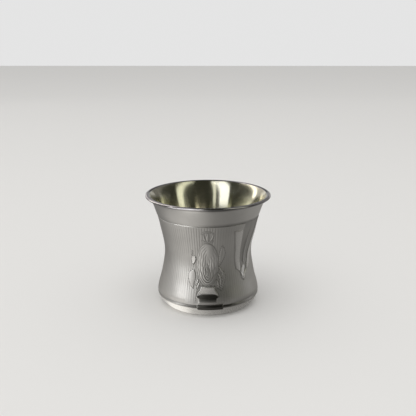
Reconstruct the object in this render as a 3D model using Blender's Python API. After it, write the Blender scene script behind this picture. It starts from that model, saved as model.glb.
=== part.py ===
"""Ritual water cup: one spun vessel with a waisted wall, a rolled rim and ornament in low relief.

Metres, +Z up. The cup stands on the origin, and its main ornament faces -Y. Ornament is laid out
on the wall by its distance across (to the right, from the ornament's own centre line) and its
height above the standing surface, and is then wrapped round the turned wall.
"""

import math

import bmesh
import bpy

MM = 0.001

# Driving dimensions of the turned vessel
HEIGHT = 59.9 * MM
RIM_RADIUS = 33.0 * MM
ROLL_HALF_WIDTH = 1.2 * MM
ROLL_HALF_HEIGHT = 0.7 * MM
WALL = 0.9 * MM
FLOOR = 1.2 * MM
FOOT_RADIUS = 22.6 * MM
INNER_FLOOR_RADIUS = 22.0 * MM
FOOT_FULLNESS = 1.4  # 1 would cut the foot's edge off straight, 2 would round it as an ellipse

# Rings that fix the outer wall's curve: height, radius, and lean (radius gained per unit of height)
BELLY = (6.2 * MM, 27.5 * MM, 0.0)
LOWER_WALL = (17.6 * MM, 25.0 * MM, -0.18)
WAIST = (29.4 * MM, 23.3 * MM, 0.0)
UPPER_WALL = (42.4 * MM, 25.37 * MM, 0.22)
NECK = (49.9 * MM, 27.28 * MM, 0.393)
LIP = (59.75 * MM, 32.22 * MM, 1.03)
WALL_RINGS = (BELLY, LOWER_WALL, WAIST, UPPER_WALL, NECK, LIP)

# The rolled rim is a flattened bead, which the outer wall meets from below and the inner from above
ROLL_CENTRE = (RIM_RADIUS - ROLL_HALF_WIDTH, HEIGHT - ROLL_HALF_HEIGHT)
ROLL_START = math.radians(-120)
ROLL_END = math.radians(150)

# Borders that close the engraved field: a cut groove above, and below a band bevelled back so
# that it is deepest along its upper edge
GROOVE_HEIGHT = 49.0 * MM
GROOVE_DEPTH = 0.2 * MM
GROOVE_HALF_WIDTH = 0.45 * MM
BEVEL_LOW = 5.8 * MM
BEVEL_HIGH = 7.25 * MM
BEVEL_STEP = 0.14 * MM
BEVEL_DEPTH = 0.45 * MM

# Facets: enough for a true outline, with the fine engraving left to the finished surface
SIDES = 64
FOOT_STEPS = 5
WALL_STEP = 2.8 * MM
ROLL_STEPS = 9
INNER_STEPS = 12
INNER_CROWDING = 1.3  # above 1, the hollow's steps stand closer together near the rim
WELD_DISTANCE = 0.01 * MM
SHARP_ANGLE = math.radians(30)

# Relief: how far ornament stands out, how deep it is rooted, and the share of it left at an edge
MEDALLION_RELIEF = 0.62 * MM
STAND_RELIEF = 0.6 * MM
LEAF_RELIEF = 0.35 * MM
MARK_RELIEF = 0.32 * MM
SINK = 0.5 * MM
EDGE_SHARE = 0.55
LEAF_ROWS = 7
LEAF_COLUMNS = 2
PLATE_ROWS = 4
PLATE_COLUMNS = 6

# Where each ornament's centre line stands, as an angle turned from -Y towards +X
FRONT_BEARING = 0.0
MARK_BEARING = math.radians(48.5)

# The U-shaped mark, by height and distance across in millimetres: the line it leans along, from
# its pointed foot, and how far from that line its arms' outer and inner edges stand
MARK_LINE = ((17.2, 0.0), (31.0, 2.0), (39.3, 3.7), (48.4, 5.4))
MARK_OUTER = ((17.2, 0.3), (21.9, 2.7), (24.3, 5.7), (34.6, 8.0), (45.4, 12.5))
MARK_INNER = ((17.2, -0.7), (20.3, -0.2), (22.6, 2.2), (31.5, 3.3), (36.0, 4.4), (45.4, 6.7))


def clear_scene():
    """Empty the scene of whatever it holds."""
    for thing in list(bpy.data.objects):
        bpy.data.objects.remove(thing, do_unlink=True)


def silver():
    """The cup's one metal, silver with a soft polish."""
    material = bpy.data.materials.new("silver")
    material.use_nodes = True
    shader = material.node_tree.nodes["Principled BSDF"]
    shader.inputs["Base Color"].default_value = (0.74, 0.72, 0.69, 1.0)
    shader.inputs["Metallic"].default_value = 1.0
    shader.inputs["Roughness"].default_value = 0.3
    return material


# ---- The turned wall ----------------------------------------------------------------


def wall_radius(height):
    """Outer radius of the plain wall at a height: a cubic between each two rings."""
    if height < BELLY[0]:
        return turned_under(1 - max(0.0, height) / BELLY[0], FOOT_RADIUS, BELLY[1])
    pairs = list(zip(WALL_RINGS, WALL_RINGS[1:]))
    low, high = next((pair for pair in pairs if height <= pair[1][0]), pairs[-1])
    span = high[0] - low[0]
    t = (height - low[0]) / span
    return (
        low[1] * (1 - t) ** 2 * (1 + 2 * t)
        + low[2] * span * t * (1 - t) ** 2
        + high[1] * t**2 * (3 - 2 * t)
        - high[2] * span * t**2 * (1 - t)
    )


def turned_under(drop, inner, outer):
    """Radius where a wall turns in below the belly; drop runs from 0 there to 1 at the bottom."""
    return inner + (outer - inner) * (1 - drop**FOOT_FULLNESS) ** (1 / FOOT_FULLNESS)


def foot_outline():
    """The edge that turns the wall under, from the flat underside up to the bevelled band."""
    last = math.acos(1 - BEVEL_LOW / BELLY[0])
    points = []
    for step in range(FOOT_STEPS):
        height = BELLY[0] * (1 - math.cos(last * step / FOOT_STEPS))
        points.append((wall_radius(height), height))
    return points


def bevel_outline():
    """The lower border: its lip, its deepest line and the edge of the field above it."""
    deepest = BEVEL_HIGH - BEVEL_STEP
    return [
        (wall_radius(BEVEL_LOW), BEVEL_LOW),
        (wall_radius(deepest) - BEVEL_DEPTH, deepest),
        (wall_radius(BEVEL_HIGH), BEVEL_HIGH),
    ]


def groove_outline():
    """The upper border: a groove's lower lip, its bottom and its upper lip."""
    low, high = GROOVE_HEIGHT - GROOVE_HALF_WIDTH, GROOVE_HEIGHT + GROOVE_HALF_WIDTH
    bottom = (wall_radius(GROOVE_HEIGHT) - GROOVE_DEPTH, GROOVE_HEIGHT)
    return [(wall_radius(low), low), bottom, (wall_radius(high), high)]


def plain_outline(low, high):
    """The wall between two heights, in even steps, without either end."""
    count = round((high - low) / WALL_STEP)
    heights = [low + (high - low) * step / count for step in range(1, count)]
    return [(wall_radius(height), height) for height in heights]


def roll_outline():
    """The rolled rim, from the crease outside, round its bead, to the inner wall."""
    points = []
    for step in range(ROLL_STEPS + 1):
        angle = ROLL_START + (ROLL_END - ROLL_START) * step / ROLL_STEPS
        radius = ROLL_CENTRE[0] + ROLL_HALF_WIDTH * math.cos(angle)
        points.append((radius, ROLL_CENTRE[1] + ROLL_HALF_HEIGHT * math.sin(angle)))
    return points


def inner_outline(lip):
    """The hollow, from the rim's height down to the floor, one wall's thickness inside."""
    points = []
    for step in range(1, INNER_STEPS + 1):
        height = lip + (BELLY[0] - lip) * (step / INNER_STEPS) ** INNER_CROWDING
        points.append((wall_radius(height) - WALL, height))
    for step in range(1, FOOT_STEPS):
        drop = math.sin(0.5 * math.pi * step / (FOOT_STEPS - 1))
        height = BELLY[0] + (FLOOR - BELLY[0]) * drop
        points.append((turned_under(drop, INNER_FLOOR_RADIUS, BELLY[1] - WALL), height))
    return points


def cup_outline():
    """The whole section, from the middle of the underside to the middle of the inner floor."""
    roll = roll_outline()
    return [
        (0.0, 0.0),
        *foot_outline(),
        *bevel_outline(),
        *plain_outline(BEVEL_HIGH, GROOVE_HEIGHT - GROOVE_HALF_WIDTH),
        *groove_outline(),
        *plain_outline(GROOVE_HEIGHT + GROOVE_HALF_WIDTH, roll[0][1]),
        *roll,
        *inner_outline(roll[-1][1]),
        (0.0, FLOOR),
    ]


def turned(name, outline):
    """A closed solid of revolution about +Z from an outline that starts and ends on the axis."""
    mesh = bmesh.new()
    points = [mesh.verts.new((radius, 0.0, height)) for radius, height in outline]
    edges = [mesh.edges.new(pair) for pair in zip(points, points[1:])]
    bmesh.ops.spin(
        mesh,
        geom=points + edges,
        cent=(0, 0, 0),
        axis=(0, 0, 1),
        angle=2 * math.pi,
        steps=SIDES,
        use_merge=True,
    )
    bmesh.ops.remove_doubles(mesh, verts=mesh.verts, dist=WELD_DISTANCE)
    return finished(name, mesh)


def finished(name, mesh):
    """An object of that name from a closed bmesh, with its faces pointing out."""
    bmesh.ops.recalc_face_normals(mesh, faces=mesh.faces)
    data = bpy.data.meshes.new(name)
    mesh.to_mesh(data)
    mesh.free()
    thing = bpy.data.objects.new(name, data)
    bpy.context.scene.collection.objects.link(thing)
    return thing


# ---- Relief on the wall -------------------------------------------------------------


def on_wall(bearing, across, height, lift):
    """The point that far across and up an ornament, and that far out from the wall."""
    radius = wall_radius(height)
    angle = bearing + across / radius
    out = radius + lift
    return (out * math.sin(angle), -out * math.cos(angle), height)


def glide(values, t):
    """A smooth run through evenly spaced values, at t from 0 to 1."""
    place = t * (len(values) - 1)
    index = min(int(place), len(values) - 2)
    u = place - index
    before = values[max(index - 1, 0)]
    first, second = values[index], values[index + 1]
    after = values[min(index + 2, len(values) - 1)]
    return (
        first
        + 0.5 * u * (second - before)
        + u**2 * (before - 2.5 * first + 2 * second - 0.5 * after)
        + u**3 * (1.5 * (first - second) + 0.5 * (after - before))
    )


def raised(name, bearing, span, centre, half_width, lift, rows, columns):
    """A low pad on the wall, built of level rows, each as wide as its place asks.

    span is its lowest and highest height. centre, half_width and lift are functions of t, which
    runs from 0 at the lowest to 1 at the highest. The pad stands full height along its middle,
    falls to EDGE_SHARE of that at its edges, and is rooted below the wall's surface.
    """
    mesh = bmesh.new()
    top, root = [], []
    for row in range(rows + 1):
        t = 0.5 - 0.5 * math.cos(math.pi * row / rows)
        height = span[0] + (span[1] - span[0]) * t
        end_share = EDGE_SHARE if row in (0, rows) else 1.0
        for column in range(columns + 1):
            side = 2 * column / columns - 1
            across = centre(t) + side * half_width(t)
            rise = lift(t) * end_share * (1 - (1 - EDGE_SHARE) * side**2)
            top.append(mesh.verts.new(on_wall(bearing, across, height, rise)))
            root.append(mesh.verts.new(on_wall(bearing, across, height, -SINK)))
    wide = columns + 1
    for row in range(rows):
        for column in range(columns):
            corner = row * wide + column
            square = (corner, corner + 1, corner + 1 + wide, corner + wide)
            mesh.faces.new([top[i] for i in square])
            mesh.faces.new([root[i] for i in reversed(square)])
    border = list(range(wide))
    border += [row * wide + columns for row in range(1, rows + 1)]
    border += [rows * wide + column for column in range(columns - 1, -1, -1)]
    border += [row * wide for row in range(rows - 1, 0, -1)]
    for here, there in zip(border, border[1:] + border[:1]):
        mesh.faces.new((top[here], root[here], root[there], top[there]))
    return finished(name, mesh)


def leaf(name, span, places, half, bearing=FRONT_BEARING, lift=LEAF_RELIEF):
    """A slender leaf whose middle glides through places, given in millimetres across."""
    return raised(
        name,
        bearing,
        span,
        lambda t: glide(places, t) * MM,
        lambda t: half * math.sin(math.pi * (0.08 + 0.84 * t)),
        lambda t: lift,
        LEAF_ROWS,
        LEAF_COLUMNS,
    )


def plate(name, span, half_widths, lifts, middle=0.0):
    """A plate on the front whose half width and lift glide through the given values."""
    return raised(
        name,
        FRONT_BEARING,
        span,
        lambda t: middle,
        lambda t: glide(half_widths, t) * MM,
        lambda t: glide(lifts, t),
        PLATE_ROWS,
        PLATE_COLUMNS,
    )


def medallion():
    """The tall oval boss that fills the waist, a little open at its ends."""
    return raised(
        "medallion",
        FRONT_BEARING,
        (17.0 * MM, 39.8 * MM),
        lambda t: 0.0,
        lambda t: 5.6 * MM * max(0.12, math.sqrt(max(0.0, 1 - (2 * t - 1) ** 2))),
        lambda t: MEDALLION_RELIEF,
        rows=14,
        columns=8,
    )


def pedestal():
    """The stand under the medallion: a plinth bar, a panel, a cushion and a flared stem."""
    shallow, full = 0.25 * STAND_RELIEF, STAND_RELIEF
    bar_middle = 1.3 * MM
    return [
        plate("plinth_bar", (4.9 * MM, 7.7 * MM), (6.8, 6.8), (full, shallow), bar_middle),
        plate("stand_panel", (8.1 * MM, 10.5 * MM), (4.7, 4.6), (full, full)),
        plate("cushion", (10.3 * MM, 12.85 * MM), (5.0, 5.0, 4.2), (full, shallow)),
        plate("flared_stem", (12.5 * MM, 17.4 * MM), (4.9, 4.1, 3.6), (shallow, full)),
    ]


def crown():
    """The finial above the medallion: a band, three upright leaves and a level crest."""
    band_lifts = (LEAF_RELIEF, LEAF_RELIEF)
    return [
        plate("crown_band", (39.9 * MM, 41.4 * MM), (2.2, 2.9), band_lifts),
        leaf("crown_leaf_middle", (41.1 * MM, 45.6 * MM), (0.1, -0.1, 0.3), 0.85 * MM),
        leaf("crown_leaf_right", (41.1 * MM, 45.4 * MM), (1.4, 2.4, 2.9), 0.6 * MM),
        leaf("crown_leaf_left", (41.1 * MM, 44.7 * MM), (-1.1, -1.9, -2.1), 0.6 * MM),
        plate("crown_crest", (45.5 * MM, 46.3 * MM), (2.1, 2.1), band_lifts, -0.7 * MM),
    ]


def left_fronds():
    """The foliage on the left: a bud, a broad leaf and short strokes beside the stem."""
    return [
        leaf("upper_stroke", (32.6 * MM, 35.8 * MM), (-7.9, -8.1, -7.9), 0.45 * MM),
        leaf("bud", (27.6 * MM, 32.4 * MM), (-7.4, -7.3, -7.2), 1.25 * MM, lift=0.5 * MM),
        leaf("broad_leaf", (15.6 * MM, 25.5 * MM), (-7.5, -8.2, -7.2), 2.1 * MM),
        leaf("short_stroke_upper", (17.2 * MM, 20.8 * MM), (-5.9, -5.3, -4.8), 0.4 * MM),
        leaf("short_stroke_lower", (15.4 * MM, 19.2 * MM), (-5.4, -4.7, -4.1), 0.4 * MM),
    ]


def right_fronds():
    """The foliage on the right: a plume and the three strokes of a spray."""
    return [
        leaf("plume", (27.4 * MM, 38.2 * MM), (6.2, 7.5, 7.6), 1.5 * MM),
        leaf("spray_outer", (14.8 * MM, 27.2 * MM), (6.9, 7.9, 8.3, 5.6), 0.65 * MM),
        leaf("spray_middle", (15.2 * MM, 23.8 * MM), (6.5, 6.9, 5.3), 0.55 * MM),
        leaf("spray_inner", (15.6 * MM, 20.4 * MM), (5.3, 5.5, 4.7), 0.45 * MM),
    ]


def between(corners, height):
    """The distance across at a height, in millimetres, on straight runs between corners."""
    pairs = list(zip(corners, corners[1:]))
    low, high = next((pair for pair in pairs if height <= pair[1][0]), pairs[-1])
    t = (height - low[0]) / (high[0] - low[0])
    return low[1] + (high[1] - low[1]) * t


def mark_arm(name, side):
    """One arm of the U-shaped mark, from the pointed foot to its level top."""
    low, high = MARK_OUTER[0][0], MARK_OUTER[-1][0]

    def across(t, share):
        """How far across the arm lies; share runs from 0 at its inner to 1 at its outer edge."""
        height = low + (high - low) * t
        inner, outer = between(MARK_INNER, height), between(MARK_OUTER, height)
        return (between(MARK_LINE, height) + side * (inner + (outer - inner) * share)) * MM

    return raised(
        name,
        MARK_BEARING,
        (low * MM, high * MM),
        lambda t: across(t, 0.5),
        lambda t: abs(across(t, 1.0) - across(t, 0.0)) / 2,
        lambda t: MARK_RELIEF,
        rows=16,
        columns=4,
    )


def forehead_mark():
    """The upright U-shaped mark beside the front, with a flame and a drop between its arms."""
    tall = 1.3 * MARK_RELIEF
    flame_line, drop_line = (1.25, 2.15, 3.1, 4.85), (-0.2, 0.9, 1.6)
    return [
        mark_arm("mark_arm_left", -1),
        mark_arm("mark_arm_right", 1),
        leaf("mark_flame", (26.2 * MM, 47.6 * MM), flame_line, 0.85 * MM, MARK_BEARING, tall),
        leaf("mark_drop", (18.4 * MM, 25.2 * MM), drop_line, 1.25 * MM, MARK_BEARING, tall),
    ]


def weld(body, pieces):
    """Unite the relief with the body, so that the cup is one solid, and clear the pieces away."""
    group = bpy.data.collections.new("relief")
    for piece in pieces:
        group.objects.link(piece)
    union = body.modifiers.new("relief", "BOOLEAN")
    union.operation = "UNION"
    union.solver = "EXACT"
    union.operand_type = "COLLECTION"
    union.collection = group
    bpy.context.view_layer.objects.active = body
    bpy.ops.object.modifier_apply(modifier=union.name)
    for piece in pieces:
        bpy.data.objects.remove(piece, do_unlink=True)
    bpy.data.collections.remove(group)


def main():
    """Turn the vessel, lay the ornament on it and unite the two."""
    clear_scene()
    cup = turned("cup", cup_outline())
    front = [medallion(), *pedestal(), *crown(), *left_fronds(), *right_fronds()]
    weld(cup, [*front, *forehead_mark()])
    cup.data.materials.clear()
    cup.data.materials.append(silver())
    cup.data.shade_smooth()
    cup.data.set_sharp_from_angle(angle=SHARP_ANGLE)


main()
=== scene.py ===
"""Looks of a ritual water cup: the turned silver wall, its chased ornament and a plain studio.

Lengths of the cup are millimetres, and those of its mesh and of the studio are metres. Bearings
are degrees, turned from the cup's front (-Y) towards +X.
"""

from __future__ import annotations

import logging
import math
from dataclasses import dataclass, field
from enum import Enum

import bmesh
import bpy
import numpy as np
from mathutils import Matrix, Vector

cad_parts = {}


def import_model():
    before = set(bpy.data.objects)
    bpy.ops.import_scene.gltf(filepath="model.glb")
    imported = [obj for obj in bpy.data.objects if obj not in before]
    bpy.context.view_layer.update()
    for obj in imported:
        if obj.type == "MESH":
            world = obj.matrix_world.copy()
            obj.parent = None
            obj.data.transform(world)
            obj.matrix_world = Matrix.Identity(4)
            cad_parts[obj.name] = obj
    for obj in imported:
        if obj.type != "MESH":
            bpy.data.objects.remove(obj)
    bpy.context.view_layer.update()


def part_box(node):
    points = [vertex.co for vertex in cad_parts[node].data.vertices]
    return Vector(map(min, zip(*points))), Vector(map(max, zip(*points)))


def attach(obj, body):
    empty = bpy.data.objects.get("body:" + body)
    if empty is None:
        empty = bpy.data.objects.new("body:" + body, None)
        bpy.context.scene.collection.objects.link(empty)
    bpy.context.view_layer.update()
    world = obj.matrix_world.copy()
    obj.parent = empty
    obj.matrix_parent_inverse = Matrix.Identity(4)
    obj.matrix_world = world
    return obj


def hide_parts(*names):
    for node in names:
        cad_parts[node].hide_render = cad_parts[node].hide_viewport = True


MM = 0.001
LOG = logging.getLogger("ritual_water_cup")

RAISED = "raised ornament"
CHASED = "chased lines"
POLISH = "polish"
# The darkening kept on the mesh's points: tarnish in cuts and dots, and painted shade.
SHADE_AND_TARNISH = "shade_and_tarnish"
CHANNELS = ("raised", "chased", "cover", "polish", "dark")

# How near points are merged and how level an edge is, in metres; the least move, in millimetres.
MERGE_DISTANCE = 1e-6
LEVEL_SLACK = 1e-7
LEAST_MOVE = 1e-5

# Types: two or more numbers, places along a line, a colour, and what a node's inputs get.
Pair = tuple[float, float]
Row = tuple[float, ...]
Line = tuple[Pair, ...]
Colour = tuple[float, float, float]
Inputs = dict[str | int, bpy.types.NodeSocket | float | tuple | Vector]


class Part(Enum):
    """The places of the cup that are finished differently, in the order of its material slots."""

    FIELD = 0
    BAND = 1
    FOOT = 2
    RIM = 3
    INSIDE = 4


# ---- Shared curves ------------------------------------------------------------------


def between(ends: Pair, share: np.ndarray) -> np.ndarray:
    """Value that goes evenly from the first end to the last as the share goes from 0 to 1."""
    return ends[0] + (ends[1] - ends[0]) * share


def smooth_step(low: float, high: float, values: np.ndarray) -> np.ndarray:
    """Ease from 0 at low to 1 at high.

    Args:
        low: where the rise starts.
        high: where the rise ends.
        values: the places asked for.

    Returns:
        The eased share at each place.
    """
    t = np.clip((values - low) / (high - low), 0.0, 1.0)
    return t * t * (3 - 2 * t)


def turned_from(bearings: np.ndarray, centre: float) -> np.ndarray:
    """How far each bearing is turned from another one, from 0 to 180 degrees."""
    return np.abs((bearings - centre + 180.0) % 360.0 - 180.0)


def glide(values: Row, t: np.ndarray) -> np.ndarray:
    """Run smoothly through evenly spaced values.

    Args:
        values: the values to pass through.
        t: places along the run, from 0 to 1.

    Returns:
        The value at each place.
    """
    table = np.array([values[0], *values, values[-1]], float)
    place = np.clip(np.asarray(t, float), 0.0, 1.0) * (len(values) - 1)
    index = np.minimum(place.astype(int), len(values) - 2)
    u = place - index
    before, first, second, after = (table[index + k] for k in range(4))
    return (
        first
        + 0.5 * u * (second - before)
        + u**2 * (before - 2.5 * first + 2 * second - 0.5 * after)
        + u**3 * (1.5 * (first - second) + 0.5 * (after - before))
    )


# ---- The turned wall ----------------------------------------------------------------


@dataclass(frozen=True)
class Ring:
    """A level that fixes the outer wall's curve.

    Attributes:
        height: its height above the standing surface.
        radius: the wall's outer radius there.
        lean: radius gained per unit of height there.
    """

    height: float
    radius: float
    lean: float


@dataclass
class TurnedWall:
    """The vessel's section: outer wall, borders, rolled rim, hollow and foot.

    Attributes:
        foot_fullness: how squarely the wall turns under, 2 for a round corner.
        rings: levels that the outer wall passes through, from the belly up.
        bevel_low: lower edge of the bevel that closes the engraved field below.
        bevel_high: upper edge of its step, where the field starts.
        bevel_step: height over which the step comes back out.
        roll_start: angle at which the bead leaves the outer wall.
        roll_end: angle at which it meets the inner wall.
        foot_rows: rows of faces from the underside to the bevel.
        rows: rows on the bevel, its step, the field, the groove and the neck under the bead.
        inner_rows: rows down the inner wall.
        corner_rows: rows round the corner inside.
        flat_rings: radii of the rings of points on both flats, as shares of their radius.
    """

    height: float
    rim_radius: float
    roll_half_width: float = 1.2
    roll_half_height: float = 0.7
    thickness: float = 0.9
    floor: float = 1.2
    foot_radius: float = 22.6
    inner_floor_radius: float = 22.0
    foot_fullness: float = 1.4
    rings: tuple[Ring, ...] = (
        Ring(6.2, 27.5, 0.0),
        Ring(17.6, 25.0, -0.18),
        Ring(29.4, 23.3, 0.0),
        Ring(42.4, 25.37, 0.22),
        Ring(49.9, 27.28, 0.393),
        Ring(59.75, 32.22, 1.03),
    )
    groove_height: float = 49.0
    groove_half_width: float = 0.45
    groove_depth: float = 0.2
    bevel_low: float = 5.8
    bevel_high: float = 7.25
    bevel_step: float = 0.14
    bevel_depth: float = 0.45
    roll_start: float = -120.0
    roll_end: float = 150.0
    roll_steps: int = 18
    foot_rows: int = 13
    rows: tuple[int, ...] = (6, 4, 17, 10, 8)
    inner_rows: int = 23
    corner_rows: int = 10
    flat_rings: Pair = (0.6, 0.95)

    @property
    def belly(self) -> Ring:
        """The widest level, where the wall starts to turn under."""
        return self.rings[0]

    @property
    def field_low(self) -> float:
        """Lower edge of the engraved field."""
        return self.bevel_high

    @property
    def field_high(self) -> float:
        """Upper edge of the engraved field."""
        return self.groove_height - self.groove_half_width

    @property
    def bevel_deepest(self) -> float:
        """Height at which the bevel is deepest, where its step starts."""
        return self.bevel_high - self.bevel_step

    def turned_under(self, drop: np.ndarray, inner: float, outer: float) -> np.ndarray:
        """Radius where a wall turns in below the belly.

        Args:
            drop: how far down, from 0 at the belly to 1 at the bottom.
            inner: radius at the bottom.
            outer: radius at the belly.

        Returns:
            The radius at each drop.
        """
        share = np.clip(1 - np.asarray(drop, float) ** self.foot_fullness, 0.0, 1.0)
        return inner + (outer - inner) * share ** (1 / self.foot_fullness)

    def radius(self, heights: np.ndarray) -> np.ndarray:
        """Outer radius of the plain wall.

        Args:
            heights: heights above the standing surface.

        Returns:
            The radius at each height: a cubic between each two rings, and the turned foot below.
        """
        z = np.asarray(heights, float)
        levels = np.array([ring.height for ring in self.rings])
        radii = np.array([ring.radius for ring in self.rings])
        leans = np.array([ring.lean for ring in self.rings])
        low = np.clip(np.searchsorted(levels, z) - 1, 0, len(levels) - 2)
        span = levels[low + 1] - levels[low]
        t = (z - levels[low]) / span
        upper = (
            radii[low] * (1 - t) ** 2 * (1 + 2 * t)
            + leans[low] * span * t * (1 - t) ** 2
            + radii[low + 1] * t**2 * (3 - 2 * t)
            - leans[low + 1] * span * t**2 * (1 - t)
        )
        drop = np.clip(1 - z / self.belly.height, 0.0, 1.0)
        foot = self.turned_under(drop, self.foot_radius, self.belly.radius)
        return np.where(z < self.belly.height, foot, upper)

    def bordered_radius(self, heights: np.ndarray) -> np.ndarray:
        """Outer radius with both borders cut in.

        Args:
            heights: heights above the standing surface.

        Returns:
            The radius at each height.
        """
        z = np.asarray(heights, float)
        deepest = self.bevel_deepest
        rise = np.clip((z - self.bevel_low) / (deepest - self.bevel_low), 0.0, 1.0)
        bevel = rise * (1 - smooth_step(deepest, self.bevel_high, z)) * self.bevel_depth
        from_groove = np.clip((z - self.groove_height) / self.groove_half_width, -1.0, 1.0)
        groove = 0.5 * (1 + np.cos(np.pi * from_groove)) * self.groove_depth
        return self.radius(z) - bevel - groove

    def levels(self) -> list[float]:
        """Heights of the outer wall's rows of points, from the underside to the rim's crease.

        Returns:
            The heights, closer together where the wall turns sharply.
        """
        turn, rows = math.acos(1 - self.bevel_low / self.belly.height), self.foot_rows
        foot = [self.belly.height * (1 - math.cos(turn * k / rows)) for k in range(rows)]
        groove_high = self.groove_height + self.groove_half_width
        bevel = (self.bevel_low, self.bevel_deepest, self.bevel_high)
        ends = (*bevel, self.field_high, groove_high, self.crease[1])
        return foot + [
            low + (high - low) * k / rows
            for low, high, rows in zip(ends, ends[1:], self.rows)
            for k in range(rows)
        ]

    def on_roll(self, angle: float) -> Pair:
        """A point on the rim's bead.

        Args:
            angle: where on the bead, from 0 at its outermost point to 90 at its top.

        Returns:
            Its radius and height.
        """
        turn = math.radians(angle)
        radius = self.rim_radius - self.roll_half_width * (1 - math.cos(turn))
        return radius, self.height - self.roll_half_height * (1 - math.sin(turn))

    @property
    def crease(self) -> Pair:
        """Radius and height of the crease under the rim's bead."""
        return self.on_roll(self.roll_start)

    def roll(self) -> list[Pair]:
        """The bead at the rim, from its outer crease over the top to the inner wall.

        Returns:
            Radius and height of each point.
        """
        angles = np.linspace(self.roll_start, self.roll_end, self.roll_steps + 1)
        return [self.on_roll(angle) for angle in angles.tolist()]

    def hollow(self, lip: float) -> list[Pair]:
        """The inner wall and floor, one wall's thickness inside the outer one.

        Args:
            lip: height at which the inner wall leaves the bead.

        Returns:
            Radius and height of each point, down to the edge of the flat floor.
        """
        heights = np.linspace(lip, self.belly.height, self.inner_rows + 1)[1:]
        wall = list(zip((self.radius(heights) - self.thickness).tolist(), heights.tolist()))
        outer = self.belly.radius - self.thickness
        corner = []
        for drop in np.sin(np.linspace(0, math.pi / 2, self.corner_rows + 1))[1:]:
            level = self.belly.height + (self.floor - self.belly.height) * drop
            corner.append((float(self.turned_under(drop, self.inner_floor_radius, outer)), level))
        return [*wall, *corner]

    def section(self) -> list[Pair]:
        """The closed half section, from the axis under the foot to the axis on the floor.

        Returns:
            Radius and height of each point.
        """
        heights = self.levels()
        outside = list(zip(self.bordered_radius(np.array(heights)).tolist(), heights))
        roll = self.roll()
        return [
            (0.0, 0.0),
            *((share * self.foot_radius, 0.0) for share in self.flat_rings),
            *outside,
            *roll,
            *self.hollow(roll[-1][1]),
            *((share * self.inner_floor_radius, self.floor) for share in self.flat_rings[::-1]),
            (0.0, self.floor),
        ]

    def is_outer(self, heights: np.ndarray, reaches: np.ndarray) -> np.ndarray:
        """Whether points belong to the outer wall and not to the hollow.

        Args:
            heights: heights above the standing surface.
            reaches: distances from the axis.

        Returns:
            Whether each point does.
        """
        return reaches > self.radius(heights) - 0.5 * self.thickness


# ---- Laying ornament out on the wall ------------------------------------------------


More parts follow.
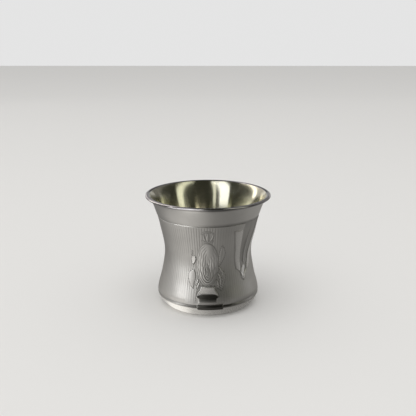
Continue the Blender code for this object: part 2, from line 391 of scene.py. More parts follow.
@dataclass
class Chart:
    """Points of the wall as one ornament sees them, and what that ornament asks of each.

    Attributes:
        across: distance to the right of the ornament's centre line.
        height: height above the standing surface.
        curve_steps: straight pieces that a curve is measured by, for each of its points.
        form_margin: width left free of engraved lines round a raised form.
        bare_share: share of a margin in which no engraved line is left at all.
        rise_span: where a form's shoulder starts and ends, in shoulders inside its edge.
        polish_span: where its polish sets in and is full, in shoulders inside its edge.
        darkening_span: how far inside a form's edge its darkening sets in and is full.
        outline_place: how far outside a form's edge its outline is cut.
        outline_depth: how deep an outline is cut.
        outline_half_width: half an outline's width.
        dot_pitch: distance between punched dots.
        dot_slant: how much earlier a row of dots beats for each unit across.
        dot_half_width: half a dot's width.
        bridge_depth: share of a dot's depth that is cut between dots.
        bridge_dark: share of a dot's tarnish that lies between dots.
        stain_place: how far outside a form's edge its dots and its tarnish lie.
        thinnest: half width of the finest stroke.
        least_lift: how far a leaning form stands out at its lowest.
        raised: how far each point stands out.
        chased: how deep each point is cut.
        cover: share of the engraved field that the ornament clears away.
        polish: share of polish on each point.
        dark: share of darkening on each point: tarnish in cut lines and dots, and painted shade on
            the stand.
    """

    across: np.ndarray
    height: np.ndarray
    curve_steps: int = 8
    form_margin: float = 0.7
    bare_share: float = 0.3
    rise_span: Pair = (-0.5, 1.0)
    polish_span: Pair = (0.4, 1.6)
    darkening_span: Pair = (-0.1, 0.15)
    outline_place: float = 0.12
    outline_depth: float = 0.08
    outline_half_width: float = 0.25
    dot_pitch: float = 1.3
    dot_slant: float = 0.7
    dot_half_width: float = 0.3
    bridge_depth: float = 0.3
    bridge_dark: float = 0.25
    stain_place: float = 0.1
    thinnest: float = 0.02
    least_lift: float = 0.05
    raised: np.ndarray = field(init=False)
    chased: np.ndarray = field(init=False)
    cover: np.ndarray = field(init=False)
    polish: np.ndarray = field(init=False)
    dark: np.ndarray = field(init=False)

    def __post_init__(self) -> None:
        """Start with nothing asked of any point."""
        for name in CHANNELS:
            setattr(self, name, np.zeros_like(self.across))

    def take_in(self, other: Chart) -> None:
        """Ask of each point what this chart or another one asks, whichever is more.

        Args:
            other: a chart of the same points.
        """
        for name in CHANNELS:
            setattr(self, name, np.maximum(getattr(self, name), getattr(other, name)))

    def outside_curve(self, places: Line, widths: Row) -> tuple[np.ndarray, np.ndarray]:
        """Distance outside a stroke that follows a smooth curve and has a changing width.

        Args:
            places: across and height of the points that the curve passes through.
            widths: half widths, evenly spaced along the curve.

        Returns:
            The distance outside its edge, negative within, and the half width nearest.
        """
        t = np.linspace(0, 1, self.curve_steps * len(places))
        line_u = glide(tuple(place[0] for place in places), t)
        line_z = glide(tuple(place[1] for place in places), t)
        half = np.maximum(glide(widths, t), self.thinnest)
        best = np.full_like(self.across, np.inf)
        near = np.full_like(self.across, half[0])
        for k in range(len(t) - 1):
            run = np.array([line_u[k + 1] - line_u[k], line_z[k + 1] - line_z[k]])
            along = (self.across - line_u[k]) * run[0] + (self.height - line_z[k]) * run[1]
            share = np.clip(along / (run @ run), 0.0, 1.0)
            gap_u = self.across - line_u[k] - share * run[0]
            gap_z = self.height - line_z[k] - share * run[1]
            width = half[k] + (half[k + 1] - half[k]) * share
            outside = np.hypot(gap_u, gap_z) - width
            closer = outside < best
            best = np.where(closer, outside, best)
            near = np.where(closer, width, near)
        return best, near

    def outside_oval(
        self,
        middle: float,
        half_width: float,
        half_height: float,
        sway: np.ndarray | float = 0.0,
    ) -> np.ndarray:
        """Distance outside an upright oval.

        Args:
            middle: height of its middle.
            half_width: half its width.
            half_height: half its height.
            sway: how far its centre line strays across at each point.

        Returns:
            The distance outside its edge, negative within.
        """
        u, z = self.across - sway, self.height - middle
        reach = np.hypot(u / half_width, z / half_height)
        slope = np.hypot(u / half_width**2, z / half_height**2)
        return (reach - 1) * reach / np.maximum(slope, 1 / half_height)

    def outside_plate(
        self, low: float, high: float, widths: Row, middle: float = 0.0
    ) -> np.ndarray:
        """Distance outside a plate with level ends and shaped sides.

        Args:
            low: height of its lower end.
            high: height of its upper end.
            widths: half widths, evenly spaced from low to high.
            middle: where its own centre line stands across.

        Returns:
            The distance outside its edge, negative within.
        """
        sides = np.abs(self.across - middle) - glide(widths, (self.height - low) / (high - low))
        ends = np.maximum(low - self.height, self.height - high)
        return np.maximum(sides, ends)

    def raise_form(
        self,
        outside: np.ndarray,
        lift: np.ndarray | float,
        shoulder: float,
        polish: float,
        outline_dark: float | None = None,
    ) -> None:
        """Stand a form out from the wall.

        Args:
            outside: distance outside the form's edge.
            lift: how far it stands out.
            shoulder: width over which its edge rises.
            polish: its polish inside its shoulder, from 0 to 1.
            outline_dark: share of dark tarnish in the line cut round it, or None for no line.
        """
        start, end = (share * shoulder for share in self.rise_span)
        self.raised = np.maximum(self.raised, lift * smooth_step(start, end, -outside))
        start, end = (share * shoulder for share in self.polish_span)
        self.polish = np.maximum(self.polish, polish * smooth_step(start, end, -outside))
        self.clear(outside, self.form_margin)
        if outline_dark is not None:
            from_line = np.abs(outside - self.outline_place)
            self.engrave(from_line, self.outline_depth, self.outline_half_width)
            self.darken_line(np.abs(outside - self.stain_place), outline_dark)

    def darken(self, outside: np.ndarray, share: np.ndarray | float = 1.0) -> None:
        """Darken the inside of a form's edge: tarnish on the mark's sunk ground, painted shade on
        the stand.

        Args:
            outside: distance outside the form's edge.
            share: share of darkening inside it.
        """
        within = smooth_step(*self.darkening_span, -outside)
        self.dark = np.maximum(self.dark, share * within)

    def darken_line(
        self,
        distance: np.ndarray,
        share: np.ndarray | float,
        fade: Pair = (0.1, 0.4),
    ) -> None:
        """Darken along a line: tarnish in cut lines and dots, painted shade beside the stem.

        Args:
            distance: distance from the line's middle.
            share: share of darkening there.
            fade: distances between which the darkening fades away.
        """
        self.dark = np.maximum(self.dark, share * (1 - smooth_step(*fade, distance)))

    def clear(self, outside: np.ndarray, margin: float) -> None:
        """Clear the engraved field away in and round a form, out to a margin."""
        share = smooth_step(-margin, -self.bare_share * margin, -outside)
        self.cover = np.maximum(self.cover, share)

    def engrave(self, distance: np.ndarray, depth: np.ndarray | float, half_width: float) -> None:
        """Cut a line with a rounded section.

        Args:
            distance: distance from the line's middle.
            depth: how deep it is cut.
            half_width: half its width.
        """
        share = np.clip(distance / half_width, 0.0, 1.0)
        self.chased = np.maximum(self.chased, depth * 0.5 * (1 + np.cos(np.pi * share)))

    def punch(self, distance: np.ndarray, depth: float, dark: float) -> None:
        """Cut a line as a row of punched dots with tarnish in them.

        Args:
            distance: distance from the line's middle.
            depth: how deep each dot is cut.
            dark: share of tarnish in a dot.
        """
        along = (self.height + self.dot_slant * self.across) / self.dot_pitch
        beat = 0.5 + 0.5 * np.cos(2 * math.pi * along)
        cut = depth * between((self.bridge_depth, 1.0), beat)
        self.engrave(distance, cut, self.dot_half_width)
        self.darken_line(distance, dark * between((self.bridge_dark, 1.0), beat))


@dataclass(frozen=True)
class Leaf:
    """One leaf or stroke of the foliage.

    Attributes:
        places: across and height of the points that its middle passes through.
        widths: half widths, evenly spaced along it.
        veined: whether a vein is cut down its middle.
    """

    places: Line
    widths: Row
    veined: bool = False


@dataclass
class Medallion:
    """The tall oval boss at the front: smooth above, with nested garlands hanging below.

    Attributes:
        edge_lift: share of the lift at its edge.
        crown_share: how far in it reaches its full lift, as a share of its half width.
        boss_place: across and height of the swelling in its upper part.
        garland_gaps: distance of each garland inside the edge.
        left_tops: height at which each garland fades out on the left.
        right_tops: the same on the right.
        garland_fade: how far below its top a garland starts to show and is at its full depth.
        wave: how far the garlands sway.
        wave_length: height of one sway.
        wave_shift: how much each garland sways later than the one outside it.
        wave_start: heights between which the sway sets in.
    """

    low: float = 17.0
    high: float = 39.8
    half_width: float = 5.6
    lift: float = 0.6
    edge_lift: float = 0.32
    crown_share: float = 0.9
    boss_place: Pair = (1.2, 35.6)
    boss_radius: float = 3.2
    boss_lift: float = 0.16
    garland_gaps: Row = (0.85, 2.1, 3.35, 4.6)
    left_tops: Row = (38.2, 37.2, 36.2, 33.4)
    right_tops: Row = (37.6, 33.2, 32.2, 31.0)
    garland_fade: Pair = (-1.0, 0.6)
    wave: float = 0.2
    wave_length: float = 4.6
    wave_shift: float = 0.3
    wave_start: Pair = (18.0, 23.0)
    line_depth: float = 0.12
    line_half_width: float = 0.4

    def carve(self, chart: Chart) -> None:
        """Raise the oval and chase its inside.

        Args:
            chart: the wall, on the front's centre line.
        """
        middle, half_height = 0.5 * (self.low + self.high), 0.5 * (self.high - self.low)
        outside = chart.outside_oval(middle, self.half_width, half_height)
        inwards = smooth_step(0, self.crown_share * self.half_width, -outside)
        lift = self.lift * between((self.edge_lift, 1.0), inwards)
        chart.raise_form(outside, lift, shoulder=0.7, polish=0.5, outline_dark=0.35)
        tops = zip(self.left_tops, self.right_tops)
        for number, (gap, (left, right)) in enumerate(zip(self.garland_gaps, tops)):
            top = np.where(chart.across < 0, left, right)
            fade = smooth_step(*self.garland_fade, top - chart.height)
            turn = chart.height / self.wave_length + self.wave_shift * number
            sway = self.wave * np.sin(2 * math.pi * turn)
            sway = sway * smooth_step(*self.wave_start, chart.height)
            size = (self.half_width - gap, half_height - gap)
            line = np.abs(chart.outside_oval(middle, *size, sway))
            chart.engrave(line, self.line_depth * fade, self.line_half_width)
        self.boss(chart)

    def boss(self, chart: Chart) -> None:
        """Raise the smooth swelling in the medallion's upper part.

        Args:
            chart: the wall, on the front's centre line.
        """
        across, height = self.boss_place
        away = np.hypot(chart.across - across, chart.height - height)
        dome = smooth_step(0, self.boss_radius, self.boss_radius - away)
        chart.raised = chart.raised + self.boss_lift * dome


@dataclass
class Pedestal:
    """The stand under the medallion: flared stem, cushion, panel and plinth bar.

    Each form is given by the heights of its lower and upper end, and its widths are half widths,
    evenly spaced between them. Its slope is the share of the stand's lift at those two ends.

    Attributes:
        stem_turn: how much further the stem stands out for each unit to the right.
        stem_shade: share of painted shade along its left edge.
        shade_place: how far outside that edge the painted shade lies.
        shade_fade: distances from there between which it fades away.
        cushion_drop: how much lower the cushion's arched upper edge is at its sides.
        cushion_sag: share of that drop by which its lower edge rises.
        bar_edge: width at the bar's edge that is left out of its painted shade.
    """

    stem: Pair = (11.9, 16.9)
    stem_widths: Row = (5.7, 5.0, 3.95, 3.55)
    stem_slope: Pair = (0.25, 1.4)
    stem_turn: float = 0.05
    stem_shade: float = 0.6
    shade_place: float = 0.2
    shade_fade: Pair = (0.1, 0.5)
    cushion: Pair = (10.4, 12.95)
    cushion_slope: Pair = (1.25, 0.3)
    cushion_half: float = 5.5
    cushion_drop: float = 1.1
    cushion_sag: float = 0.6
    panel: Pair = (8.1, 10.8)
    panel_slope: Pair = (1.3, 1.15)
    panel_widths: Row = (4.7, 4.6, 4.7)
    bar: Pair = (4.4, 7.85)
    bar_slope: Pair = (1.1, 0.25)
    bar_middle: float = 1.3
    bar_half: float = 6.8
    bar_edge: float = 0.2
    lift: float = 0.5

    def carve(self, chart: Chart) -> None:
        """Raise the stand's four forms.

        Args:
            chart: the wall, on the front's centre line.
        """
        self.stem_form(chart)
        self.panel_form(chart)
        self.cushion_form(chart)
        self.bar_form(chart)

    def stem_form(self, chart: Chart) -> None:
        """Raise the flared stem, which leans forward towards its top.

        Args:
            chart: the wall, on the front's centre line.
        """
        outside = chart.outside_plate(*self.stem, self.stem_widths)
        outside = np.maximum(outside, self.cushion_top(chart) - chart.height)
        lift = self.lift * between(self.stem_slope, self.rise(chart, self.stem))
        lift = lift + self.stem_turn * chart.across
        chart.raise_form(outside, lift, shoulder=0.5, polish=1.0, outline_dark=0.6)
        # Painted shade along the stem's left edge.
        shade = np.where(chart.across < 0, self.stem_shade, 0.0)
        chart.darken_line(np.abs(outside - self.shade_place), shade, self.shade_fade)

    def cushion_top(self, chart: Chart) -> np.ndarray:
        """Height of the cushion's arched upper edge at each point."""
        share = np.clip(np.abs(chart.across) / self.cushion_half, 0.0, 1.0)
        return self.cushion[1] - self.cushion_drop * share**4

    def panel_form(self, chart: Chart) -> None:
        """Raise the panel, whose face curls back towards its top.

        Args:
            chart: the wall, on the front's centre line.
        """
        outside = chart.outside_plate(*self.panel, self.panel_widths)
        rise = self.rise(chart, self.panel)
        lift = self.lift * between(self.panel_slope, rise**2)
        chart.raise_form(outside, lift, shoulder=0.4, polish=0.5)
        # Painted shadow of the cushion on the panel, darker towards the panel's top.
        chart.darken(outside, rise)

    def cushion_form(self, chart: Chart) -> None:
        """Raise the cushion: an arched slab that leans back from its lower edge.

        Args:
            chart: the wall, on the front's centre line.
        """
        low, high = self.cushion
        top = self.cushion_top(chart)
        bottom = low + self.cushion_sag * (high - top)
        ends = np.maximum(bottom - chart.height, chart.height - top)
        outside = np.maximum(ends, np.abs(chart.across) - self.cushion_half)
        lift = self.lift * between(self.cushion_slope, self.rise(chart, self.cushion))
        chart.raise_form(outside, lift, shoulder=0.2, polish=0.0)
        # Painted shade over the whole cushion.
        chart.darken(outside)

    def bar_form(self, chart: Chart) -> None:
        """Raise the plinth bar, which leans back across the bevelled border.

        Args:
            chart: the wall, on the front's centre line.
        """
        outside = chart.outside_plate(*self.bar, (self.bar_half, self.bar_half), self.bar_middle)
        lift = self.lift * between(self.bar_slope, self.rise(chart, self.bar))
        chart.raise_form(outside, lift, shoulder=0.25, polish=0.0)
        # Painted shade over the bar, all but its edge.
        chart.darken(outside + self.bar_edge)

    @staticmethod
    def rise(chart: Chart, form: Pair) -> np.ndarray:
        """How far up a form each point lies, from 0 at its lower end to 1 at its upper one."""
        return np.clip((chart.height - form[0]) / (form[1] - form[0]), 0.0, 1.0)


@dataclass
class Crown:
    """The finial over the medallion: a band, a bulb, two curling leaves and an arched crest.

    Attributes:
        band: heights of the band's lower and upper edge.
        band_widths: its half widths, from its lower edge to its upper one.
        band_lift: how far it stands out.
        lift: how far the leaves stand out.
        slender: half widths between which a leaf's lift grows from nothing to all of that.
        leaves: the bulb, the two leaves and the crest.
    """

    band: Pair = (40.3, 41.3)
    band_widths: Row = (2.2, 2.5, 2.9)
    band_lift: float = 0.112
    lift: float = 0.14
    slender: Pair = (-0.4, 0.6)
    leaves: tuple[Leaf, ...] = (
        Leaf(((0.1, 41.2), (-0.1, 43.0), (0.3, 45.2)), (0.5, 0.75, 0.2)),
        Leaf(((1.4, 41.3), (2.4, 43.0), (2.9, 45.4)), (0.35, 0.5, 0.2)),
        Leaf(((-1.1, 41.3), (-1.9, 42.8), (-2.1, 44.6)), (0.35, 0.5, 0.2)),
        Leaf(((-2.8, 45.3), (-1.1, 46.1), (1.5, 46.0)), (0.25, 0.3, 0.25)),
    )

    def carve(self, chart: Chart) -> None:
        """Raise the band, its leaves and the crest.

        Args:
            chart: the wall, on the front's centre line.
        """
        outside = chart.outside_plate(*self.band, self.band_widths)
        chart.raise_form(outside, self.band_lift, shoulder=0.3, polish=0.3, outline_dark=0.35)
        for leaf in self.leaves:
            outside, half = chart.outside_curve(leaf.places, leaf.widths)
            lift = self.lift * smooth_step(*self.slender, half)
            chart.raise_form(outside, lift, shoulder=0.4, polish=0.1, outline_dark=0.35)


@dataclass
class Fronds:
    """Foliage on both sides of the medallion: a bud and a broad leaf, a plume and a spray.

    Attributes:
        edge_lift: share of a leaf's lift at its edge.
        flattest: where a leaf's rounded section ends, as the square of its height there.
        bud_slopes: how much further the bud stands out for each unit right and each unit down.
        dot_dark: share of tarnish in the dots round leaves.
        seam_dark: share of tarnish in each seam's dots.
        seams: the dotted seams that hang down beside the stand.
    """

    lift: float = 0.15
    edge_lift: float = 0.6
    flattest: float = 0.05
    leaf_polish: float = 0.1
    vein_depth: float = 0.09
    vein_half_width: float = 0.35
    leaves: tuple[Leaf, ...] = (
        Leaf(((-7.2, 25.2), (-8.1, 22.0), (-8.2, 18.6), (-7.5, 15.8)), (0.2, 2.0, 1.25, 0.2)),
        Leaf(((-4.8, 20.6), (-5.3, 19.0), (-5.9, 17.4)), (0.2, 0.42, 0.15)),
        Leaf(((-4.1, 19.0), (-4.7, 17.4), (-5.4, 15.6)), (0.2, 0.42, 0.15)),
        Leaf(((-7.9, 35.6), (-8.1, 34.2), (-7.9, 32.8)), (0.15, 0.4, 0.15)),
        Leaf(((7.6, 38.0), (7.5, 33.4), (6.2, 27.6)), (0.25, 1.45, 0.2), veined=True),
        Leaf(((5.6, 27.0), (8.3, 22.4), (7.9, 18.6), (6.9, 15.0)), (0.2, 0.6, 0.6, 0.15)),
        Leaf(((5.3, 23.6), (6.9, 19.8), (6.5, 15.4)), (0.2, 0.5, 0.15)),
        Leaf(((4.7, 20.2), (5.5, 17.8), (5.3, 15.8)), (0.15, 0.42, 0.15)),
    )
    bud: Leaf = Leaf(((-7.2, 31.3), (-7.3, 30.1), (-7.4, 27.9)), (1.25, 1.15, 0.15))
    bud_lift: float = 0.36
    bud_slopes: Pair = (0.16, 0.15)
    dot_depth: float = 0.07
    dot_dark: float = 0.6
    seam_dark: Pair = (0.5, 0.1)
    seams: tuple[Leaf, ...] = (
        Leaf(((-4.3, 16.6), (-5.6, 13.2), (-6.5, 8.6)), (0.05, 0.1, 0.05)),
        Leaf(((8.1, 16.6), (8.3, 12.6), (8.5, 8.0)), (0.05, 0.1, 0.05)),
    )

    def carve(self, chart: Chart) -> None:
        """Raise every leaf and the bud, and cut the veins and the seams below.

        Args:
            chart: the wall, on the front's centre line.
        """
        for leaf in self.leaves:
            self.raise_leaf(chart, leaf)
        self.raise_bud(chart)
        for seam, dark in zip(self.seams, self.seam_dark):
            outside, _ = chart.outside_curve(seam.places, seam.widths)
            chart.punch(np.maximum(outside, 0), self.dot_depth, dark)

    def raise_bud(self, chart: Chart) -> None:
        """Stand the bud out as one bright facet, turned up and away from the medallion.

        Args:
            chart: the wall, on the front's centre line.
        """
        outside, _ = chart.outside_curve(self.bud.places, self.bud.widths)
        across, height = self.bud.places[1]
        turn, tilt = self.bud_slopes
        lift = self.bud_lift + turn * (chart.across - across) - tilt * (chart.height - height)
        lift = np.clip(lift, chart.least_lift, None)
        chart.raise_form(outside, lift, shoulder=0.3, polish=1.0, outline_dark=0.4)

    def raise_leaf(self, chart: Chart, leaf: Leaf) -> None:
        """Stand one leaf out with a rounded face.

        Args:
            chart: the wall, on the front's centre line.
            leaf: the leaf's shape.
        """
        outside, half = chart.outside_curve(leaf.places, leaf.widths)
        aside = np.clip(outside + half, 0, None) / half
        dome = np.sqrt(np.clip(1 - aside**2, self.flattest, 1))
        lift = self.lift * between((self.edge_lift, 1.0), dome)
        chart.raise_form(outside, lift, shoulder=0.4, polish=self.leaf_polish)
        chart.punch(np.abs(outside - chart.stain_place), self.vein_depth, self.dot_dark)
        if leaf.veined:
            vein, _ = chart.outside_curve(leaf.places, (chart.thinnest, chart.thinnest))
            chart.engrave(np.maximum(vein, 0), self.vein_depth, self.vein_half_width)


@dataclass
class ForeheadMark:
    """The upright U-shaped mark on the cup's right, with a flame and a drop between its arms.

    Attributes:
        bearing: where the foot of its centre line stands.
        heights: heights of its lower end and of its left arm's upper end.
        line: its leaning centre line, as height and distance across of each corner.
        outer_edge: distance of the arms' outer edge from that line, by height.
        inner_edge: distance of their inner edge from it, by height.
        margin: width left free of engraved lines round it.
        drop_tilt: how much less the drop stands out for each unit up.
        stroke_gain: how much further than the arms the flame and the drop stand out.
        slender: half widths between which their lift grows from nothing to all of that.
        bright_edge: how far outside their edge they stay free of tarnish.
        ground_top: height to which the sunk ground and the right arm run.
        ground_slope: width over which the ground sinks.
        edge_fade: distances from an arm's outline between which its tarnish fades away.
        end_slack: how far past the arms' ends the outlines run.
    """

    bearing: float = 48.5
    lift: float = 0.26
    heights: Pair = (17.2, 45.4)
    line: Line = ((17.2, 0.0), (31.0, 2.0), (39.3, 3.7), (48.4, 5.4))
    outer_edge: Line = ((17.2, 0.3), (21.9, 2.7), (24.3, 5.7), (34.6, 8.0), (45.4, 12.5))
    inner_edge: Line = (
        (17.2, -0.7), (20.3, -0.2), (22.6, 2.2), (31.5, 3.3), (36.0, 4.4), (45.4, 6.7)
    )
    arm_polish: float = 0.8
    margin: float = 0.4
    flame: Leaf = Leaf(
        ((-0.05, 27.0), (-0.3, 33.4), (-0.8, 40.5), (-0.4, 47.6)), (0.7, 0.75, 0.4, 0.1)
    )
    drop: Leaf = Leaf(
        ((-1.1, 18.2), (-1.1, 20.4), (-0.5, 22.4), (0.2, 24.0)), (0.3, 1.1, 1.5, 1.4)
    )
    drop_tilt: float = 0.05
    stroke_gain: float = 1.6
    slender: Pair = (-0.2, 0.7)
    bright_edge: float = 0.05
    ground_top: float = 49.5
    ground_depth: float = 0.14
    ground_slope: float = 0.6
    ground_dark: float = 0.3
    edge_depth: float = 0.16
    edge_half_width: float = 0.5
    edge_dark: float = 0.4
    edge_fade: Pair = (0.15, 0.5)
    end_slack: float = 0.2

    def carve(self, chart: Chart) -> None:
        """Raise the two arms, the flame and the drop, and sink the ground between them.

        Args:
            chart: the wall, on the upright line at the mark's bearing.
        """
        leaning = Chart(chart.across - self.edge(self.line, chart.height), chart.height)
        self.raise_arms(leaning)
        for leaf, tilt in ((self.flame, 0.0), (self.drop, self.drop_tilt)):
            self.raise_stroke(leaning, leaf, tilt)
        chart.take_in(leaning)

    def raise_arms(self, chart: Chart) -> None:
        """Raise the arms, sink the ground between them and cut their outlines.

        Args:
            chart: the wall, on the mark's own leaning line.
        """
        low, high = self.heights
        side = np.abs(chart.across)
        outer = self.edge(self.outer_edge, chart.height)
        inner = self.edge(self.inner_edge, chart.height)
        top = np.where(chart.across < -inner, high, self.ground_top)
        ends = np.maximum(low - chart.height, chart.height - top)
        within = np.maximum(side - inner, ends)
        chart.clear(np.maximum(side - outer, ends), self.margin)
        sunk = self.ground_depth * smooth_step(0.0, self.ground_slope, -within)
        chart.chased = np.maximum(chart.chased, sunk)
        chart.darken(within, self.ground_dark)
        arms = np.maximum(np.maximum(side - outer, inner - side), ends)
        chart.raise_form(arms, self.lift, shoulder=0.5, polish=self.arm_polish)
        edges = np.minimum(np.abs(side - outer), np.abs(side - inner))
        beside = np.where(ends < self.end_slack, 1.0, 0.0)
        chart.engrave(edges, self.edge_depth * beside, self.edge_half_width)
        chart.darken_line(edges, self.edge_dark * beside, self.edge_fade)

    def raise_stroke(self, chart: Chart, leaf: Leaf, tilt: float) -> None:
        """Raise the flame or the drop, clear of the tarnish round it.

        Args:
            chart: the wall, on the mark's own leaning line.
            leaf: the shape.
            tilt: how much less it stands out for each unit up.
        """
        outside, half = chart.outside_curve(leaf.places, leaf.widths)
        lift = self.stroke_gain * self.lift * smooth_step(*self.slender, half)
        lift = np.clip(lift - tilt * (chart.height - leaf.places[0][1]), chart.least_lift, None)
        chart.raise_form(outside, lift, shoulder=0.3, polish=1.0, outline_dark=0.2)
        chart.dark = np.where(outside < self.bright_edge, 0.0, chart.dark)

    @staticmethod
    def edge(places: Line, heights: np.ndarray) -> np.ndarray:
        """Distance across of a line that runs straight from corner to corner.

        Args:
            places: height and distance across of its corners, from the lowest up.
            heights: the heights asked for.

        Returns:
            The distance at each height.
        """
        levels, distances = zip(*places)
        return np.interp(heights, levels, distances)


@dataclass(frozen=True)
class Patch:
    """A stretch of the wall that handling has worn less.

    Attributes:
        bearings: bearings of its left and right end.
        heights: heights of its lower and upper end.
        left_fade: degrees outside its left end over which it fades.
        right_fade: degrees outside its right end over which it fades.
        end_fade: how far outside and inside its lower and upper end it fades.
    """

    bearings: Pair
    heights: Pair
    left_fade: float = 10.0
    right_fade: float = 6.0
    end_fade: Pair = (6.0, 2.0)

    def share(self, bearings: np.ndarray, heights: np.ndarray) -> np.ndarray:
        """How far each point lies in the patch.

        Args:
            bearings: bearing of each point.
            heights: height of each point.

        Returns:
            1 inside and 0 outside, with soft ends between.
        """
        (left, right), (low, high), (out, into) = self.bearings, self.heights, self.end_fade
        around = smooth_step(left - self.left_fade, left, bearings)
        around = around * smooth_step(-right - self.right_fade, -right, -bearings)
        upright = smooth_step(low - out, low + into, heights)
        return around * (upright * smooth_step(-high - out, -high + into, -heights))


@dataclass
class LinedField:
    """Upright engraved lines round the whole field, which stop short of the ornament.

    Attributes:
        count: lines round the cup.
        depth: how deep a fresh line is cut.
        end_margin: height over which the lines fade at the field's edges.
        worn_share: share of their depth that is left where the field is worn most.
        crisp: the patches where they are as fresh as cut.
    """

    count: int = 120
    depth: float = 0.105
    end_margin: float = 0.5
    worn_share: float = 0.28
    crisp: tuple[Patch, ...] = (
        Patch((-40.0, 8.0), (34.0, 60.0)),
        Patch((-56.0, -19.0), (18.0, 29.0)),
    )

    def depth_at(self, bearings: np.ndarray, heights: np.ndarray, wall: TurnedWall) -> np.ndarray:
        """Depth of the lines.

        Args:
            bearings: bearing of each point.
            heights: height of each point.
            wall: the wall that they are cut in.

        Returns:
            The depth at each point.
        """
        phase = np.cos(np.radians(bearings) * self.count)
        groove = np.clip(phase, 0.0, 1.0) ** 2
        low, high = wall.field_low, wall.field_high
        ends = smooth_step(low, low + self.end_margin, heights)
        ends = ends * smooth_step(-high, -high + self.end_margin, -heights)
        crisp = np.maximum.reduce([patch.share(bearings, heights) for patch in self.crisp])
        return self.depth * groove * ends * between((self.worn_share, 1.0), crisp)


# ---- Making the cup's mesh ----------------------------------------------------------


def deselect_all() -> None:
    """Leave edit mode and leave nothing selected."""
    if bpy.context.object and bpy.context.object.mode != "OBJECT":
        bpy.ops.object.mode_set(mode="OBJECT")
    bpy.ops.object.select_all(action="DESELECT")


@dataclass(frozen=True)
class Panel:
    """A stretch of the wall that carries ornament and is cut into fine faces.

    Attributes:
        first: bearing of its left end.
        last: bearing of its right end.
        low: height of its lower end.
        high: height of its upper end.
        slack: degrees past its left and right end that still count.
        end_slack: height past its lower and upper end that still counts.
    """

    first: float
    last: float
    low: float
    high: float
    slack: float = 0.2
    end_slack: float = 1e-3

    def holds(self, point: Vector) -> bool:
        """Whether a point lies on the panel.

        Args:
            point: a point of the mesh, in metres.

        Returns:
            Whether it does.
        """
        bearing = math.degrees(math.atan2(point.x, -point.y))
        height = point.z / MM
        across = self.first - self.slack <= bearing <= self.last + self.slack
        return across and self.low - self.end_slack <= height <= self.high + self.end_slack


@dataclass(frozen=True)
class Places:
    """Where the points or the faces of the cup's mesh lie.

    Attributes:
        bearing: bearing of each.
        height: height of each above the standing surface.
        reach: distance of each from the axis.
    """

    bearing: np.ndarray
    height: np.ndarray
    reach: np.ndarray

    @classmethod
    def of(cls, elements: bpy.types.bpy_prop_collection, name: str) -> Places:
        """Read the places from a mesh.

        Args:
            elements: the mesh's points or faces.
            name: the property that holds where each lies, in metres.

        Returns:
            Their places.
        """
        flat = np.empty(len(elements) * 3, np.float32)
        elements.foreach_get(name, flat)
        x, y, z = flat.reshape(-1, 3).astype(float).T
        return cls(np.degrees(np.arctan2(x, -y)), z / MM, np.hypot(x, y) / MM)


@dataclass(frozen=True)
class BorderShade:
    """How dark a border is painted, by how far round the cup it is from a bearing: painted shade,
    partly over tarnish.

    Attributes:
        bearing: the bearing.
        turned: degrees from it between which the painted shade changes.
        kept: share of painted shade at those two.
    """

    bearing: float
    turned: Pair
    kept: Pair

    def share(self, bearings: np.ndarray) -> np.ndarray:
        """Share of painted shade at each bearing."""
        turned = turned_from(bearings, self.bearing)
        return between(self.kept, smooth_step(*self.turned, turned))


